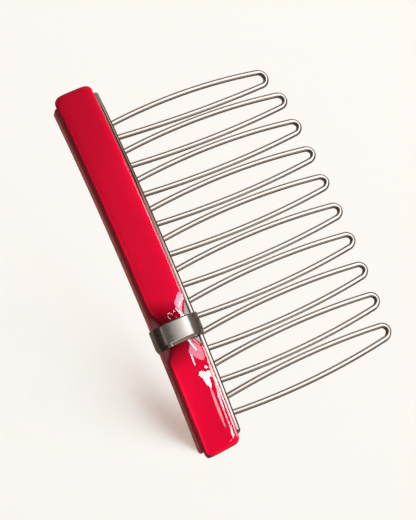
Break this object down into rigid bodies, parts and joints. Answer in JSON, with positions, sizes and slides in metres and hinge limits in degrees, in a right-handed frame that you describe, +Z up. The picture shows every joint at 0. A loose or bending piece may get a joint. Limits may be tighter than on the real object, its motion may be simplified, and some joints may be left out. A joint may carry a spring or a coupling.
{
  "type": "side comb",
  "caption": "Side comb with a glossy red slab in a narrow metal tray, tied by a metal band, and a row of leaf-shaped wire loop teeth that slide into the hair.",
  "frame": {"origin": "on the table under the middle of the comb's box", "axes": "+X points along the teeth towards their tips, +Y along the bar towards the short tooth, +Z up from the table, out of the red slab's face"},
  "size_m": [0.047, 0.0766, 0.0069],
  "materials": {
    "red_gloss": "polished cherry-red resin with a clear gloss",
    "dark_metal": "dark nickel plate, smooth",
    "bright_metal": "polished nickel plate",
    "wire": "polished nickel-plated spring wire"
  },
  "bodies": {
    "root": {"red_bar": "red_gloss", "back_plate": "dark_metal", "band": "bright_metal", "tooth_01": "wire", "tooth_02": "wire", "tooth_03": "wire", "tooth_04": "wire", "tooth_05": "wire", "tooth_06": "wire", "tooth_07": "wire", "tooth_08": "wire", "tooth_09": "wire", "tooth_10": "wire"}
  },
  "joints": []
}
